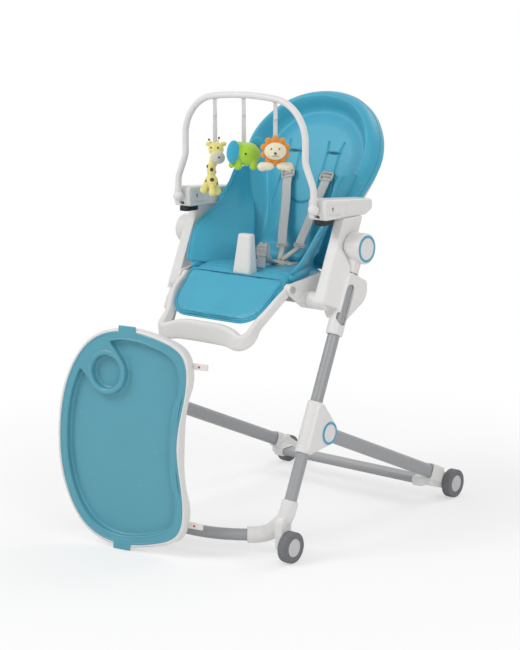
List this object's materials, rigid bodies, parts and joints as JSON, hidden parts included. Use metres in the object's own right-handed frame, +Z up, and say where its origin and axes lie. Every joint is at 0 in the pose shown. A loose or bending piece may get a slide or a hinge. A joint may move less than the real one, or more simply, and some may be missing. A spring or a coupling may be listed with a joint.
{
  "type": "baby high chair",
  "caption": "Folding high chair on wheels with a padded reclining seat, sliding seat height, footrest, hanging toy arch and a loose feeding tray with a cup well.",
  "frame": {"origin": "middle of the footprint of everything shown, chair and tray, at floor level", "axes": "+Z up, +X to the child's left, the chair faces -Y; X = 0 is the chair's plane of symmetry"},
  "size_m": [0.55, 0.8752, 1.0164],
  "materials": {
    "tube_grey": "satin painted steel tube",
    "inner_steel": "plain steel",
    "white_plastic": "warm white satin moulding",
    "grey_plastic": "matt grey moulding",
    "blue_trim": "blue ring",
    "wheel_grey": "dark grey wheel",
    "black_plastic": "matt black",
    "blue_cover": "wipe-clean padded cover, satin",
    "grey_webbing": "woven webbing",
    "blue_tray": "glossy tray insert",
    "yellow_plush": "short pile plush",
    "green_plush": "short pile plush",
    "blue_plush": "short pile plush",
    "orange_plush": "short pile plush",
    "cream_plush": "short pile plush"
  },
  "bodies": {
    "front_frame": {"front_leg_left": "tube_grey", "front_leg_right": "tube_grey", "front_cross_tube": "tube_grey", "front_corner_left": "white_plastic", "front_corner_right": "white_plastic", "leg_hub_left": "white_plastic", "leg_hub_right": "white_plastic", "pivot_bracket_left": "white_plastic", "pivot_bracket_right": "white_plastic", "trim_rings": "blue_trim", "round_caps": "white_plastic", "frame_pins": "inner_steel"},
    "rear_frame": {"rear_leg_left": "tube_grey", "rear_leg_right": "tube_grey", "rear_cross_bar": "tube_grey", "rear_end_left": "white_plastic", "rear_end_right": "white_plastic", "rear_axles": "inner_steel"},
    "front_wheel_left_body": {"front_wheel_left": "wheel_grey"},
    "front_wheel_right_body": {"front_wheel_right": "wheel_grey"},
    "rear_wheel_left_body": {"rear_wheel_left": "wheel_grey"},
    "rear_wheel_right_body": {"rear_wheel_right": "wheel_grey"},
    "seat": {"carriage_left": "white_plastic", "carriage_right": "white_plastic", "armrest_left": "white_plastic", "armrest_right": "white_plastic", "seat_shell": "white_plastic", "seat_cross_tube": "inner_steel", "crotch_post": "white_plastic", "seat_cushion": "blue_cover", "side_wings": "blue_cover", "footrest_pins": "inner_steel", "waist_belt": "grey_webbing"},
    "height_button_left_body": {"height_button_left": "grey_plastic"},
    "height_button_right_body": {"height_button_right": "grey_plastic"},
    "tray_latch_left_body": {"tray_latch_left": "black_plastic"},
    "tray_latch_right_body": {"tray_latch_right": "black_plastic"},
    "backrest": {"back_shell": "white_plastic", "back_cushion": "blue_cover", "shoulder_straps": "grey_webbing"},
    "recline_handle_body": {"recline_handle": "grey_plastic"},
    "footrest": {"footrest_frame": "white_plastic", "calf_pad": "blue_cover"},
    "arch": {"toy_arch": "white_plastic"},
    "giraffe": {"giraffe_body": "yellow_plush", "giraffe_head": "yellow_plush", "giraffe_legs": "yellow_plush", "giraffe_ribbon": "grey_webbing"},
    "elephant": {"elephant_body": "green_plush", "elephant_ears": "blue_plush", "elephant_legs": "green_plush", "elephant_ribbon": "grey_webbing"},
    "lion": {"lion_mane": "orange_plush", "lion_head": "cream_plush", "lion_paws": "cream_plush", "lion_ribbon": "grey_webbing"},
    "tray": {"tray_base": "white_plastic", "tray_insert": "blue_tray", "tray_tongues": "white_plastic"}
  },
  "joints": [
    {"name": "rear_frame_fold", "type": "hinge", "parent": "front_frame", "child": "rear_frame", "pos_m": [0, -0.1137, 0.26816], "axis": [-1, 0, 0], "range_deg": [0, 65]},
    {"name": "front_wheel_left_roll", "type": "hinge", "parent": "front_frame", "child": "front_wheel_left_body", "pos_m": [0.262, -0.2456, 0.035], "axis": [1, 0, 0], "continuous": true},
    {"name": "front_wheel_right_roll", "type": "hinge", "parent": "front_frame", "child": "front_wheel_right_body", "pos_m": [-0.262, -0.2456, 0.035], "axis": [1, 0, 0], "continuous": true},
    {"name": "rear_wheel_left_roll", "type": "hinge", "parent": "rear_frame", "child": "rear_wheel_left_body", "pos_m": [0.262, 0.4026, 0.035], "axis": [1, 0, 0], "continuous": true},
    {"name": "rear_wheel_right_roll", "type": "hinge", "parent": "rear_frame", "child": "rear_wheel_right_body", "pos_m": [-0.262, 0.4026, 0.035], "axis": [1, 0, 0], "continuous": true},
    {"name": "seat_height", "type": "slide", "parent": "front_frame", "child": "seat", "axis": [0, 0.4035, 0.915], "range_m": [-0.14, 0]},
    {"name": "recline", "type": "hinge", "parent": "seat", "child": "backrest", "pos_m": [0, 0.0478, 0.60002], "axis": [-1, 0, 0], "range_deg": [0, 38]},
    {"name": "footrest_tilt", "type": "hinge", "parent": "seat", "child": "footrest", "pos_m": [0, -0.1202, 0.58202], "axis": [-1, 0, 0], "range_deg": [-30, 40]},
    {"name": "arch_tilt", "type": "hinge", "parent": "seat", "child": "arch", "pos_m": [0, -0.0912, 0.762], "axis": [1, 0, 0], "range_deg": [-5, 75]},
    {"name": "height_button_left_press", "type": "slide", "parent": "seat", "child": "height_button_left_body", "axis": [0, -0.915, 0.4035], "range_m": [0, 0.003], "stiffness_N_per_m": 600},
    {"name": "height_button_right_press", "type": "slide", "parent": "seat", "child": "height_button_right_body", "axis": [0, -0.915, 0.4035], "range_m": [0, 0.003], "stiffness_N_per_m": 600},
    {"name": "tray_latch_left_pull", "type": "slide", "parent": "seat", "child": "tray_latch_left_body", "axis": [0, 1, 0], "range_m": [0, 0.004], "stiffness_N_per_m": 500},
    {"name": "tray_latch_right_pull", "type": "slide", "parent": "seat", "child": "tray_latch_right_body", "axis": [0, 1, 0], "range_m": [0, 0.004], "stiffness_N_per_m": 500},
    {"name": "recline_handle_lift", "type": "slide", "parent": "backrest", "child": "recline_handle_body", "axis": [0, 0.4384, 0.8988], "range_m": [0, 0.01], "stiffness_N_per_m": 400},
    {"name": "giraffe_swing", "type": "hinge", "parent": "arch", "child": "giraffe", "pos_m": [-0.086, -0.0912, 1.00176], "axis": [1, 0, 0], "range_deg": [-25, 25]},
    {"name": "elephant_swing", "type": "hinge", "parent": "arch", "child": "elephant", "pos_m": [0, -0.0912, 1.00652], "axis": [1, 0, 0], "range_deg": [-25, 25]},
    {"name": "lion_swing", "type": "hinge", "parent": "arch", "child": "lion", "pos_m": [0.092, -0.0912, 1.00107], "axis": [1, 0, 0], "range_deg": [-25, 25]},
    {"name": "tray_slide", "type": "slide", "parent": "front_frame", "child": "tray", "axis": [0, -1, 0], "range_m": [0, 0.3]}
  ]
}
